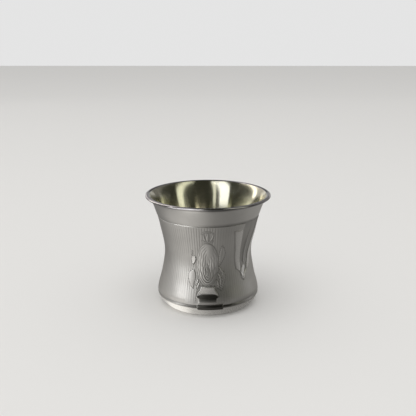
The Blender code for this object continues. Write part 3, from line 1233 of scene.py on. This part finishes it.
@dataclass
class Cup:
    """The whole vessel: one closed shell of turned metal with its ornament chased in.

    Attributes:
        sides: faces round it.
        fine_rows: new rows of points in each row of a panel's faces.
        shortest_cut: length from which an upright edge is cut into fine rows.
        front_span: how far the front's ornament reaches to each side of the front.
        front_low: height of its lower end.
        mark_first: bearing of the forehead mark's left end.
        mark_last: bearing of its right end.
        mark_low: height of its lower end.
        recess_share: share of tarnish in the deepest cut.
        bevel_slack: height below the bevel that its painted shade still covers.
        crease_out: distances outside the crease between which painted shade on the bead sets in.
        crease_up: heights over it between which that fades away.
        crease_away: distances from it between which painted shade on the wall fades away.
    """

    wall: TurnedWall
    sides: int = 240
    fine_rows: int = 11
    shortest_cut: float = 1.2
    medallion: Medallion = field(default_factory=Medallion)
    pedestal: Pedestal = field(default_factory=Pedestal)
    crown: Crown = field(default_factory=Crown)
    fronds: Fronds = field(default_factory=Fronds)
    mark: ForeheadMark = field(default_factory=ForeheadMark)
    lines: LinedField = field(default_factory=LinedField)
    front_span: float = 25.5
    front_low: float = 4.0
    mark_first: float = 27.0
    mark_last: float = 88.5
    mark_low: float = 15.0
    recess_share: float = 0.42
    # Painted shade on the bevel, darkest at the front and fading round the sides, over tarnish in
    # its hollow.
    bevel_shade: BorderShade = BorderShade(0.0, (16.0, 48.0), (1.0, 0.4))
    bevel_slack: float = 0.1
    # Painted shade in the groove, faint on the lit left and darker towards the right.
    groove_shade: BorderShade = BorderShade(-85.0, (65.0, 135.0), (0.12, 0.6))
    # Painted shade in the crease under the bead, lighter at the front left where the bead's
    # highlight falls.
    crease_shade: BorderShade = BorderShade(-18.0, (11.0, 22.0), (0.15, 0.9))
    crease_out: Pair = (-0.5, -0.2)
    crease_up: Pair = (0.5, 1.1)
    crease_away: Pair = (0.6, 1.6)

    def build(self) -> bpy.types.Object:
        """Turn the vessel, refine its panels and work the ornament into it.

        Returns:
            The finished cup.
        """
        cup = self.turn()
        self.refine(cup)
        self.settle(cup)
        self.work_ornament(cup)
        self.sort_faces(cup)
        cup.data.shade_smooth()
        return cup

    def turn(self) -> bpy.types.Object:
        """Draw the half section and spin it round the axis.

        Returns:
            The plain turned vessel, closed and facing out.
        """
        section = self.wall.section()
        deselect_all()
        bpy.ops.mesh.primitive_plane_add(size=MM, location=(0, 0, 0))
        cup = bpy.context.object
        cup.name = cup.data.name = "silver_cup"
        bpy.ops.object.mode_set(mode="EDIT")
        bpy.ops.mesh.select_all(action="SELECT")
        bpy.ops.mesh.merge(type="CENTER")
        for here, there in zip(section, section[1:]):
            step = ((there[0] - here[0]) * MM, 0.0, (there[1] - here[1]) * MM)
            bpy.ops.mesh.extrude_vertices_move(TRANSFORM_OT_translate={"value": step})
        bpy.ops.mesh.select_all(action="SELECT")
        bpy.ops.mesh.spin(steps=self.sides, angle=2 * math.pi, center=(0, 0, 0), axis=(0, 0, 1))
        bpy.ops.mesh.select_all(action="SELECT")
        bpy.ops.mesh.remove_doubles(threshold=MERGE_DISTANCE)
        bpy.ops.mesh.normals_make_consistent(inside=False)
        bpy.ops.object.mode_set(mode="OBJECT")
        return cup

    def panels(self) -> tuple[Panel, Panel]:
        """The two stretches that carry ornament.

        Returns:
            The front and the stretch of the forehead mark.
        """
        high = self.wall.field_high
        front = Panel(-self.front_span, self.front_span, self.front_low, high)
        return front, Panel(self.mark_first, self.mark_last, self.mark_low, high)

    def refine(self, cup: bpy.types.Object) -> None:
        """Cut the field's faces as finely as its lines and ornament need.

        Args:
            cup: the plain turned vessel.
        """
        bpy.context.view_layer.objects.active = cup
        bpy.ops.object.mode_set(mode="EDIT")
        bpy.ops.mesh.select_mode(type="EDGE")
        whole = Panel(-180.0, 180.0, self.wall.field_low, self.wall.field_high)
        self.cut(cup, (whole,), level=True, cuts=1)
        self.cut(cup, self.panels(), level=True, cuts=1)
        self.cut(cup, self.panels(), level=False, cuts=self.fine_rows)
        bpy.ops.object.mode_set(mode="OBJECT")

    def cut(
        self, cup: bpy.types.Object, panels: tuple[Panel, ...], level: bool, cuts: int
    ) -> None:
        """Subdivide the outer wall's level or upright edges inside panels.

        Args:
            cup: the cup, in edit mode.
            panels: where to cut.
            level: whether level edges are cut, which gives more columns, or upright ones.
            cuts: new points on each edge.
        """
        mesh = bmesh.from_edit_mesh(cup.data)
        for edge in mesh.edges:
            edge.select_set(False)
        shortest = self.shortest_cut * MM
        for edge in mesh.edges:
            start, end = (vert.co for vert in edge.verts)
            is_level = abs(start.z - end.z) < LEVEL_SLACK
            middle = (start + end) / 2
            if is_level != level or not self.on_outside(middle):
                continue
            if not level and edge.calc_length() < shortest:
                continue
            if any(panel.holds(middle) for panel in panels):
                edge.select_set(True)
        bmesh.update_edit_mesh(cup.data)
        bpy.ops.mesh.subdivide(number_cuts=cuts, quadcorner="STRAIGHT_CUT")

    def on_outside(self, point: Vector) -> bool:
        """Whether a point of the mesh belongs to the outer wall and not to the hollow."""
        return bool(self.wall.is_outer(point.z / MM, math.hypot(point.x, point.y) / MM))

    def settle(self, cup: bpy.types.Object) -> None:
        """Bring the new points of the outer wall to its true radius.

        Args:
            cup: the cup, with its panels refined.
        """
        at = Places.of(cup.data.vertices, "co")
        outer = self.wall.is_outer(at.height, at.reach)
        outer &= (at.height > self.front_low) & (at.height < self.wall.field_high)
        gap = np.where(outer, self.wall.bordered_radius(at.height) - at.reach, 0.0)
        self.displace(cup, "fill out", np.maximum(gap, 0.0), 1.0)
        self.displace(cup, "draw in", np.maximum(-gap, 0.0), -1.0)

    def work_ornament(self, cup: bpy.types.Object) -> None:
        """Raise the ornament and chase its lines, and note where it is polished or darkened, with
        tarnish or painted shade.

        Args:
            cup: the cup, settled.
        """
        at = Places.of(cup.data.vertices, "co")
        outer = self.wall.is_outer(at.height, at.reach)
        outer &= (at.height >= self.front_low) & (at.height <= self.wall.field_high)
        asked = self.ornament(at)
        lined = self.lines.depth_at(at.bearing, at.height, self.wall) * (1 - asked.cover)
        chased = np.where(outer, np.maximum(asked.chased, lined), 0.0)
        self.displace(cup, RAISED, np.where(outer, asked.raised, 0.0), 1.0)
        self.displace(cup, CHASED, chased, -1.0)
        note(cup, POLISH, np.where(outer, asked.polish, 0.0))
        in_cuts = self.recess_share * chased / chased.max()
        # Darkening: tarnish in the cuts, and painted shade on the stand and in the borders.
        dark = np.maximum(np.where(outer, asked.dark, 0.0), in_cuts)
        note(cup, SHADE_AND_TARNISH, np.maximum(dark, self.border_shade(at)))

    def ornament(self, at: Places) -> Chart:
        """Lay all the ornament out on the wall.

        Args:
            at: where the mesh's points lie.

        Returns:
            What the ornament asks of each point.
        """
        radius = self.wall.radius(at.height)
        front = Chart(np.radians(at.bearing) * radius, at.height)
        for form in (self.medallion, self.pedestal, self.crown, self.fronds):
            form.carve(front)
        side = Chart(np.radians(at.bearing - self.mark.bearing) * radius, at.height)
        self.mark.carve(side)
        front.take_in(side)
        return front

    def border_shade(self, at: Places) -> np.ndarray:
        """Share of painted shade on the bevel, in the groove and in the crease under the bead,
        over tarnish in the bevel and the groove.

        Args:
            at: where the mesh's points lie.

        Returns:
            The share at each point.
        """
        wall = self.wall
        low, high = wall.bevel_low - self.bevel_slack, wall.bevel_high - 0.5 * wall.bevel_step
        on_bevel = wall.is_outer(at.height, at.reach) & (at.height > low) & (at.height < high)
        in_groove = np.abs(at.height - wall.groove_height) < wall.groove_half_width
        shares = [
            self.bevel_shade.share(at.bearing) * on_bevel,
            self.groove_shade.share(at.bearing) * in_groove,
            self.crease_shade.share(at.bearing) * self.in_crease(at),
        ]
        return np.maximum.reduce(shares)

    def in_crease(self, at: Places) -> np.ndarray:
        """How near each point lies to the crease, over it on the bead or under it on the wall.

        Args:
            at: where the mesh's points lie.

        Returns:
            1 in the crease and 0 away from it.
        """
        radius, level = self.wall.crease
        rise, out = at.height - level, at.reach - radius
        bead = smooth_step(*self.crease_out, out) * (1 - smooth_step(*self.crease_up, rise))
        wall = 1 - smooth_step(*self.crease_away, np.hypot(rise, out))
        return np.where(rise > 0, bead, wall)

    def displace(
        self, cup: bpy.types.Object, name: str, amount: np.ndarray, direction: float
    ) -> None:
        """Move the wall's points along their normals by painting a group and applying Displace.

        Args:
            cup: the cup.
            name: name of the group and the modifier.
            amount: distance asked of each point, in millimetres.
            direction: 1 to stand out, -1 to sink in.
        """
        most = float(amount.max())
        group = cup.vertex_groups.new(name=name)
        for index in np.flatnonzero(amount > LEAST_MOVE).tolist():
            group.add([index], float(amount[index]) / most, "REPLACE")
        press = cup.modifiers.new(name, "DISPLACE")
        press.vertex_group = name
        press.mid_level = 0.0
        press.strength = direction * most * MM
        bpy.context.view_layer.objects.active = cup
        bpy.ops.object.modifier_apply(modifier=press.name)
        cup.vertex_groups.remove(cup.vertex_groups[name])

    def sort_faces(self, cup: bpy.types.Object) -> None:
        """Give each face the slot of the place it belongs to.

        Args:
            cup: the finished shape.
        """
        wall, at = self.wall, Places.of(cup.data.polygons, "center")
        inner = ~wall.is_outer(at.height, at.reach)
        tests = {
            Part.RIM: at.height > wall.crease[1],
            Part.INSIDE: inner & (at.height > 0.5 * wall.floor),
            Part.FOOT: at.height < wall.bevel_low,
            Part.FIELD: (at.height > wall.field_low) & (at.height < wall.field_high),
        }
        numbers = [part.value for part in tests]
        slots = np.select(list(tests.values()), numbers, Part.BAND.value)
        cup.data.polygons.foreach_set("material_index", slots.astype(np.int32))


def note(thing: bpy.types.Object, name: str, values: np.ndarray) -> None:
    """Keep a value for each point of a mesh, for its materials to read."""
    attribute = thing.data.attributes.new(name, "FLOAT", "POINT")
    attribute.data.foreach_set("value", values.astype(np.float32))


# ---- Finishes -----------------------------------------------------------------------


def fill(tree: bpy.types.ShaderNodeTree, node: bpy.types.Node, inputs: Inputs) -> None:
    """Link or set a node's inputs.

    Args:
        tree: the tree that the node stands in.
        node: the node.
        inputs: what each input gets: the output to link it to, or its value.
    """
    for label, given in inputs.items():
        if isinstance(given, bpy.types.NodeSocket):
            tree.links.new(given, node.inputs[label])
        else:
            node.inputs[label].default_value = given


def add_node(
    tree: bpy.types.ShaderNodeTree,
    kind: str,
    inputs: Inputs | None = None,
    **settings: str | bool | bpy.types.ShaderNodeTree,
) -> bpy.types.Node:
    """Add a shader node.

    Args:
        tree: the tree that it is added to.
        kind: its type, without the word ShaderNode.
        inputs: what its inputs get, as in fill.
        settings: its own settings, which are made before its inputs are filled.

    Returns:
        The node.
    """
    node = tree.nodes.new(f"ShaderNode{kind}")
    for name, value in settings.items():
        setattr(node, name, value)
    fill(tree, node, inputs or {})
    return node


def calculate(
    tree: bpy.types.ShaderNodeTree,
    operation: str,
    first: bpy.types.NodeSocket | float,
    second: bpy.types.NodeSocket | float,
    use_clamp: bool = False,
) -> bpy.types.NodeSocket:
    """Work one value out from two.

    Args:
        tree: the tree that the node is added to.
        operation: what is done with them.
        first: the first value or its socket.
        second: the second value or its socket.
        use_clamp: whether the result is kept between 0 and 1.

    Returns:
        The result's socket.
    """
    inputs = {0: first, 1: second}
    node = add_node(tree, "Math", inputs, operation=operation, use_clamp=use_clamp)
    return node.outputs[0]


def mix_colours(
    tree: bpy.types.ShaderNodeTree,
    factor: bpy.types.NodeSocket,
    first: bpy.types.NodeSocket | tuple,
    second: bpy.types.NodeSocket | tuple,
    blend_type: str = "MIX",
) -> bpy.types.NodeSocket:
    """Mix two colours.

    Args:
        tree: the tree that the node is added to.
        factor: the second colour's share.
        first: the first colour or its socket.
        second: the second colour or its socket.
        blend_type: how they are mixed.

    Returns:
        The mixed colour's socket.
    """
    inputs = {"Factor": factor, "A": first, "B": second}
    return add_node(tree, "Mix", inputs, data_type="RGBA", blend_type=blend_type).outputs["Result"]


class Effects:
    """Shader node groups that more than one finish uses."""

    def __init__(self) -> None:
        """Build each group once."""
        self.tarnish = self.make_tarnish_and_shade()
        self.hairlines = self.make_hairlines()

    @staticmethod
    def group(
        name: str, inputs: dict[str, float | tuple], outputs: dict[str, str]
    ) -> tuple[bpy.types.ShaderNodeTree, bpy.types.NodeOutputs, bpy.types.Node]:
        """Start a node group.

        Args:
            name: its name.
            inputs: default value of each input; a tuple is a colour.
            outputs: socket type of each output.

        Returns:
            The group, the sockets that its inputs give and its output node.
        """
        tree = bpy.data.node_groups.new(name, "ShaderNodeTree")
        for label, value in inputs.items():
            kind = "NodeSocketColor" if isinstance(value, tuple) else "NodeSocketFloat"
            socket = tree.interface.new_socket(label, in_out="INPUT", socket_type=kind)
            socket.default_value = value
        for label, kind in outputs.items():
            tree.interface.new_socket(label, in_out="OUTPUT", socket_type=kind)
        given = tree.nodes.new("NodeGroupInput").outputs
        return tree, given, tree.nodes.new("NodeGroupOutput")

    def make_tarnish_and_shade(self) -> bpy.types.ShaderNodeTree:
        """Cloudy tarnish, and the darkening that the mesh asks for: tarnish in recesses and
        painted shade; a darker, warmer metal colour.

        Returns:
            The group.
        """
        inputs = {
            "Clean": (0.8, 0.8, 0.8, 1.0),
            "Tarnished": (0.3, 0.28, 0.25, 1.0),
            "Cloud Scale": 120.0,
            "Cloud Amount": 0.2,
            "Darkening": 0.0,
            "Darkening Amount": 0.6,
        }
        # The group also lays the painted shade that the mesh's darkening asks for.
        tree, given, made = self.group("tarnish", inputs, {"Color": "NodeSocketColor"})
        place = add_node(tree, "TexCoord").outputs["Object"]
        inputs = {"Vector": place, "Scale": given["Cloud Scale"], "Detail": 4.0}
        cloud = add_node(tree, "TexNoise", inputs).outputs["Fac"]
        inputs = {"Value": cloud, "From Min": 0.38, "From Max": 0.66}
        cloud = add_node(tree, "MapRange", inputs).outputs["Result"]
        clouded = calculate(tree, "MULTIPLY", cloud, given["Cloud Amount"])
        darkened = calculate(tree, "MULTIPLY", given["Darkening"], given["Darkening Amount"])
        dulled = calculate(tree, "ADD", clouded, darkened, use_clamp=True)
        colour = mix_colours(tree, dulled, given["Clean"], given["Tarnished"])
        fill(tree, made, {"Color": colour})
        return tree

    def make_hairlines(self) -> bpy.types.ShaderNodeTree:
        """Fine scratches drawn out along or round the axis: a height and a change of gloss.

        Returns:
            The group.
        """
        tree, given, made = self.group(
            "hairlines",
            {"Across Scale": 400.0, "Along Scale": 6000.0, "Roughness": 0.3, "Spread": 0.1},
            {"Height": "NodeSocketFloat", "Roughness": "NodeSocketFloat"},
        )
        across, along = given["Across Scale"], given["Along Scale"]
        scale = add_node(tree, "CombineXYZ", {"X": across, "Y": across, "Z": along})
        place = add_node(tree, "TexCoord").outputs["Object"]
        inputs = {0: place, 1: scale.outputs["Vector"]}
        place = add_node(tree, "VectorMath", inputs, operation="MULTIPLY").outputs["Vector"]
        inputs = {"Vector": place, "Scale": 1.0, "Detail": 3.0}
        grain = add_node(tree, "TexNoise", inputs).outputs["Fac"]
        change = calculate(tree, "SUBTRACT", grain, 0.5)
        change = calculate(tree, "MULTIPLY", change, given["Spread"])
        roughness = calculate(tree, "ADD", change, given["Roughness"], use_clamp=True)
        fill(tree, made, {"Height": grain, "Roughness": roughness})
        return tree


@dataclass(frozen=True)
class Finish:
    """How one place of the cup's metal looks.

    Attributes:
        name: the material's name.
        clean: colour of the bright metal.
        tarnished: colour of the metal where it has dulled, also used for its painted shade.
        roughness: how satin it is, from 0 for a mirror.
        roughness_spread: how much that varies from one hairline to the next.
        polished: colour of the metal where it is polished whitest.
        polished_roughness: roughness where the ornament is polished.
        polished_gain: how far its colour turns to the polished one there.
        cloud_scale: how often the cloudy tarnish changes, per metre.
        cloud_amount: share of cloudy tarnish.
        darkening_amount: share of the mesh's darkening that shows: tarnish in cut lines and
            painted shade.
        across_scale: how often the grain changes across, per metre.
        along_scale: how often it changes along the axis, per metre.
        grain: how strong the grain's relief is.
        grain_depth: depth of the grain's relief.
        anisotropy: how far highlights are drawn out across the grain.
        anisotropy_turn: 0 to draw them out round the axis, 0.25 along it.
    """

    name: str
    clean: Colour
    tarnished: Colour = (0.08, 0.077, 0.07)
    roughness: float = 0.35
    roughness_spread: float = 0.15
    polished: Colour = (1.0, 0.99, 0.97)
    polished_roughness: float = 0.16
    polished_gain: float = 0.45
    cloud_scale: float = 90.0
    cloud_amount: float = 0.09
    darkening_amount: float = 0.6
    across_scale: float = 400.0
    along_scale: float = 5000.0
    grain: float = 0.1
    grain_depth: float = 0.02
    anisotropy: float = 0.0
    anisotropy_turn: float = 0.0

    def material(self, effects: Effects) -> bpy.types.Material:
        """Make the material.

        Args:
            effects: the shared node groups.

        Returns:
            The finished material.
        """
        made = bpy.data.materials.new(self.name)
        made.use_nodes = True
        tree = made.node_tree
        polish = self.attribute(tree, POLISH)
        whitened = calculate(tree, "MULTIPLY", polish, self.polished_gain)
        clean = mix_colours(tree, whitened, (*self.clean, 1.0), (*self.polished, 1.0))
        inputs = {
            "Clean": clean,
            "Tarnished": (*self.tarnished, 1.0),
            "Cloud Scale": self.cloud_scale,
            "Cloud Amount": self.cloud_amount,
            "Darkening": self.attribute(tree, SHADE_AND_TARNISH),
            "Darkening Amount": self.darkening_amount,
        }
        tarnish = add_node(tree, "Group", inputs, node_tree=effects.tarnish)
        inputs = {
            "Across Scale": self.across_scale,
            "Along Scale": self.along_scale,
            "Roughness": self.roughness,
            "Spread": self.roughness_spread,
        }
        hairlines = add_node(tree, "Group", inputs, node_tree=effects.hairlines)
        inputs = {
            "Factor": polish,
            "A": hairlines.outputs["Roughness"],
            "B": self.polished_roughness,
        }
        gloss = add_node(tree, "Mix", inputs)
        inputs = {
            "Strength": self.grain,
            "Distance": self.grain_depth * MM,
            "Height": hairlines.outputs["Height"],
        }
        bump = add_node(tree, "Bump", inputs)
        inputs = {
            "Base Color": tarnish.outputs["Color"],
            "Metallic": 1.0,
            "Roughness": gloss.outputs["Result"],
            "Normal": bump.outputs["Normal"],
            "Anisotropic": self.anisotropy,
            "Anisotropic Rotation": self.anisotropy_turn,
        }
        fill(tree, tree.nodes["Principled BSDF"], inputs)
        return made

    @staticmethod
    def attribute(tree: bpy.types.ShaderNodeTree, name: str) -> bpy.types.NodeSocket:
        """The socket of a value kept on the mesh's points."""
        return add_node(tree, "Attribute", attribute_name=name).outputs["Fac"]


FINISHES: dict[Part, Finish] = {
    Part.FIELD: Finish(
        name="lined_satin_silver",
        clean=(0.62, 0.61, 0.59),
        roughness=0.42,
        darkening_amount=0.95,
        across_scale=5000.0,
        along_scale=300.0,
    ),
    Part.BAND: Finish(
        name="smooth_satin_silver",
        clean=(0.64, 0.63, 0.61),
        roughness=0.33,
        darkening_amount=0.85,
    ),
    Part.FOOT: Finish(
        name="bright_foot_silver",
        clean=(0.82, 0.81, 0.78),
        roughness=0.27,
        cloud_amount=0.05,
        darkening_amount=1.0,
    ),
    Part.RIM: Finish(
        name="bright_rim_silver",
        clean=(0.78, 0.76, 0.78),
        roughness=0.15,
        roughness_spread=0.02,
        cloud_amount=0.05,
        darkening_amount=0.9,
        grain=0.0,
    ),
    Part.INSIDE: Finish(
        name="warm_turned_inside",
        clean=(0.80, 0.785, 0.65),
        tarnished=(0.45, 0.40, 0.28),
        roughness=0.18,
        roughness_spread=0.05,
        across_scale=60.0,
        along_scale=4000.0,
        anisotropy=1.0,
        anisotropy_turn=0.25,
    ),
}


# ---- Studio -------------------------------------------------------------------------


@dataclass(frozen=True)
class Softbox:
    """A plain rectangular light that faces the cup.

    Attributes:
        name: its name.
        bearing: where it stands, turned from the cup's front towards its right.
        elevation: how high its middle stands above the horizon.
        distance: how far its middle is from the cup, in metres.
        width: its width, in metres.
        height: its height, in metres.
        radiance: how bright it looks.
        colour: its colour.
        reflected: whether it shows in the metal.
        lights_floor: whether it lights the floor.
    """

    name: str
    bearing: float
    elevation: float
    distance: float
    width: float
    height: float
    radiance: float
    colour: Colour = (1.0, 1.0, 1.0)
    reflected: bool = True
    lights_floor: bool = False

    def place(self, target: Vector) -> None:
        """Stand the light up.

        Args:
            target: what it faces, in metres.
        """
        data = bpy.data.lights.new(self.name, "AREA")
        data.shape = "RECTANGLE"
        data.size, data.size_y = self.width, self.height
        data.energy = self.radiance * math.pi * self.width * self.height
        data.color = self.colour
        light = bpy.data.objects.new(self.name, data)
        bpy.context.scene.collection.objects.link(light)
        outwards = towards(self.bearing, self.elevation)
        light.location = target + outwards * self.distance
        light.rotation_euler = outwards.to_track_quat("Z", "Y").to_euler()
        light.visible_camera = False
        light.visible_glossy = self.reflected
        light.visible_diffuse = self.lights_floor


def towards(bearing: float, elevation: float) -> Vector:
    """Point out from the cup.

    Args:
        bearing: bearing of the direction.
        elevation: how high it points above the horizon.

    Returns:
        The direction, one long.
    """
    turn, rise = math.radians(bearing), math.radians(elevation)
    return Vector(
        (math.cos(rise) * math.sin(turn), -math.cos(rise) * math.cos(turn), math.sin(rise))
    )


@dataclass
class Studio:
    """The pale floor and its painted reflection, the soft lights and the camera.

    Attributes:
        camera_distance: how far the camera stands from the point that it aims at, in metres.
        camera_shift: how far its frame is shifted up, as a share of the frame's width.
        camera_near: distance from which it sees things, in metres.
        aim_height: height that it aims at, in metres.
        floor_size: length of the floor's sides, in metres.
        floor_gloss: how much the floor shines.
        sheen_bearing: the side where the floor's painted reflection is brightest.
        sheen_tint: colour of the floor's painted reflection, as the metal sees it.
        sheen: its brightness at places from the dark side, 0, to the bright one, 1.
        glow: how much brighter the painted reflection is close to the cup, on one side.
        glow_bearing: that side.
        glow_agreement: how nearly a direction has to agree with that side to glow.
        glow_reach: distances from the axis between which the glow fades away, in metres.
        air_colour: light of the air on the floor.
        room_colour: the dim room that the metal reflects.
    """

    camera_bearing: float = 0.3
    camera_elevation: float = 18.46
    camera_distance: float = 0.340
    camera_lens: float = 54.24
    camera_sensor: float = 36.0
    camera_shift: float = 0.0928
    camera_near: float = 0.01
    aim_height: float = 0.030
    floor_size: float = 6.0
    floor_colour: Colour = (0.74, 0.73, 0.71)
    floor_roughness: float = 0.9
    floor_gloss: float = 0.1
    sheen_bearing: float = -52.0
    sheen_tint: Colour = (1.0, 0.975, 0.935)
    sheen: Line = (
        (0.02, 0.38),
        (0.3, 0.23),
        (0.76, 0.23),
        (0.98, 0.72),
    )
    glow: float = 0.45
    glow_bearing: float = -43.0
    glow_agreement: float = 0.9
    glow_reach: Pair = (0.036, 0.05)
    air_colour: Colour = (0.78, 0.78, 0.78)
    room_colour: Colour = (0.032, 0.032, 0.025)
    softboxes: tuple[Softbox, ...] = (
        Softbox(
            "overhead_softbox", -20.0, 70.0, 1.6, 1.8, 1.8, 1.0, reflected=False, lights_floor=True
        ),
        Softbox("low_left_card", -61.0, 4.0, 0.9, 0.5, 0.16, 4.6),
        Softbox("low_left_wash", -106.0, 3.0, 0.9, 0.9, 0.3, 0.7),
        Softbox("left_streak", -40.0, 40.0, 0.9, 0.35, 1.1, 1.6),
        Softbox("thin_streak", -16.0, 40.0, 0.9, 0.1, 1.1, 0.85, (1.0, 1.0, 0.88)),
        Softbox("right_streak", 70.0, 40.0, 0.9, 0.25, 1.1, 1.05, (1.0, 1.0, 0.84)),
        Softbox("back_left_strip", -124.0, 30.0, 0.9, 0.16, 1.0, 2.2, (1.0, 0.94, 0.84)),
        Softbox("back_left_wash", -146.0, 28.0, 1.0, 0.66, 1.2, 0.5, (1.0, 0.94, 0.93)),
        Softbox("back_right_wash", 145.0, 32.0, 1.0, 0.7, 1.0, 0.14, (1.0, 0.96, 0.98)),
        Softbox("back_card", 180.0, 7.0, 1.2, 1.5, 0.42, 0.3),
        Softbox("low_right_wash", 112.0, 3.0, 0.9, 0.6, 0.3, 0.4),
        Softbox("low_right_card", 94.0, -7.0, 0.15, 0.07, 0.024, 0.3),
    )

    def build(self) -> None:
        """Set the whole studio up."""
        self.lay_floor()
        self.fill_air()
        target = Vector((0, 0, self.aim_height))
        for softbox in self.softboxes:
            softbox.place(target)
        self.set_camera(target)
        bpy.context.scene.view_settings.view_transform = "Standard"

    def lay_floor(self) -> None:
        """Lay the plain pale floor; the metal sees a painted reflection of it, an emission
        brightest towards the cup's front left.
        """
        deselect_all()
        bpy.ops.mesh.primitive_plane_add(size=self.floor_size, location=(0, 0, 0))
        floor = bpy.context.object
        floor.name = "studio_floor"
        made = bpy.data.materials.new("pale_floor")
        made.use_nodes = True
        tree = made.node_tree
        shader = tree.nodes["Principled BSDF"]
        inputs = {
            "Base Color": (*self.floor_colour, 1.0),
            "Roughness": self.floor_roughness,
            "Specular IOR Level": self.floor_gloss,
        }
        fill(tree, shader, inputs)
        # Reflected rays see the floor as an emission: a painted reflection, brightest towards the
        # front left and glowing near the cup.
        seen = add_node(tree, "Emission", {"Color": self.painted_floor_reflection(tree)})
        path = add_node(tree, "LightPath")
        inputs = {
            "Fac": path.outputs["Is Glossy Ray"],
            1: shader.outputs["BSDF"],
            2: seen.outputs["Emission"],
        }
        blend = add_node(tree, "MixShader", inputs)
        fill(tree, tree.nodes["Material Output"], {"Surface": blend.outputs["Shader"]})
        floor.data.materials.append(made)

    def painted_floor_reflection(self, tree: bpy.types.ShaderNodeTree) -> bpy.types.NodeSocket:
        """Painted reflection of the floor: how bright the metal sees it, by direction from the
        cup.

        Args:
            tree: the floor material's nodes.

        Returns:
            The socket of the colour.
        """
        place = add_node(tree, "TexCoord").outputs["Object"]
        inputs = {"Value": self.agreement(tree, place, self.sheen_bearing), "From Min": -1.0}
        share = add_node(tree, "MapRange", inputs).outputs["Result"]
        ramp = add_node(tree, "ValToRGB", {"Fac": share})
        ramp.color_ramp.interpolation = "B_SPLINE"
        stops = ramp.color_ramp.elements
        for number, (along, brightness) in enumerate(self.sheen):
            stop = stops[number] if number < len(stops) else stops.new(along)
            stop.position = along
            stop.color = (*(brightness * tint for tint in self.sheen_tint), 1.0)
        inputs = {
            "Value": self.agreement(tree, place, self.glow_bearing),
            "From Min": self.glow_agreement,
            "To Max": self.glow,
        }
        aside = add_node(tree, "MapRange", inputs, interpolation_type="SMOOTHSTEP")
        away = add_node(tree, "VectorMath", {0: place}, operation="LENGTH").outputs["Value"]
        inputs = {"Value": away, "From Min": self.glow_reach[1], "From Max": self.glow_reach[0]}
        near = add_node(tree, "MapRange", inputs).outputs["Result"]
        glow = calculate(tree, "MULTIPLY", aside.outputs["Result"], near)
        tint = (*self.sheen_tint, 1.0)
        return mix_colours(tree, glow, ramp.outputs["Color"], tint, blend_type="ADD")

    @staticmethod
    def agreement(
        tree: bpy.types.ShaderNodeTree, place: bpy.types.NodeSocket, bearing: float
    ) -> bpy.types.NodeSocket:
        """How far a place's direction from the cup agrees with a bearing.

        Args:
            tree: the tree that the nodes are added to.
            place: the socket of the place.
            bearing: the bearing to compare with.

        Returns:
            The socket of the agreement: 1 in that direction, -1 in the opposite one.
        """
        outwards = add_node(tree, "VectorMath", {0: place}, operation="NORMALIZE")
        inputs = {0: outwards.outputs["Vector"], 1: towards(bearing, 0.0)}
        return add_node(tree, "VectorMath", inputs, operation="DOT_PRODUCT").outputs["Value"]

    def fill_air(self) -> None:
        """Pale air that lights the floor, and a dim room for the metal to reflect."""
        world = bpy.data.worlds.new("studio_air")
        bpy.context.scene.world = world
        world.use_nodes = True
        tree = world.node_tree
        glossy = add_node(tree, "LightPath").outputs["Is Glossy Ray"]
        colour = mix_colours(tree, glossy, (*self.air_colour, 1.0), (*self.room_colour, 1.0))
        fill(tree, tree.nodes["Background"], {"Color": colour})

    def set_camera(self, target: Vector) -> None:
        """Stand the camera where it sees the cup from a little above.

        Args:
            target: what it aims at, in metres.
        """
        data = bpy.data.cameras.new("camera")
        data.lens = self.camera_lens
        data.sensor_width = self.camera_sensor
        data.shift_y = self.camera_shift
        data.clip_start = self.camera_near
        camera = bpy.data.objects.new("camera", data)
        bpy.context.scene.collection.objects.link(camera)
        back = towards(self.camera_bearing, self.camera_elevation)
        camera.location = target + back * self.camera_distance
        camera.rotation_euler = back.to_track_quat("Z", "Y").to_euler()
        bpy.context.scene.camera = camera


# ---- Putting it together ------------------------------------------------------------


def main() -> None:
    """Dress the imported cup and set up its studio."""
    logging.basicConfig(level=logging.INFO, format="%(name)s: %(message)s")
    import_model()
    low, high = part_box("cup")
    LOG.info("frame: %.1f mm high, %.1f mm across", high.z / MM, (high.x - low.x) / MM)

    wall = TurnedWall(height=high.z / MM, rim_radius=high.x / MM)
    cup = Cup(wall).build()
    effects = Effects()
    for part in Part:
        cup.data.materials.append(FINISHES[part].material(effects))
    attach(cup, "root")
    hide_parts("cup")
    LOG.info("cup: %d points, %d faces", len(cup.data.vertices), len(cup.data.polygons))

    Studio().build()


if __name__ == "__main__":
    main()
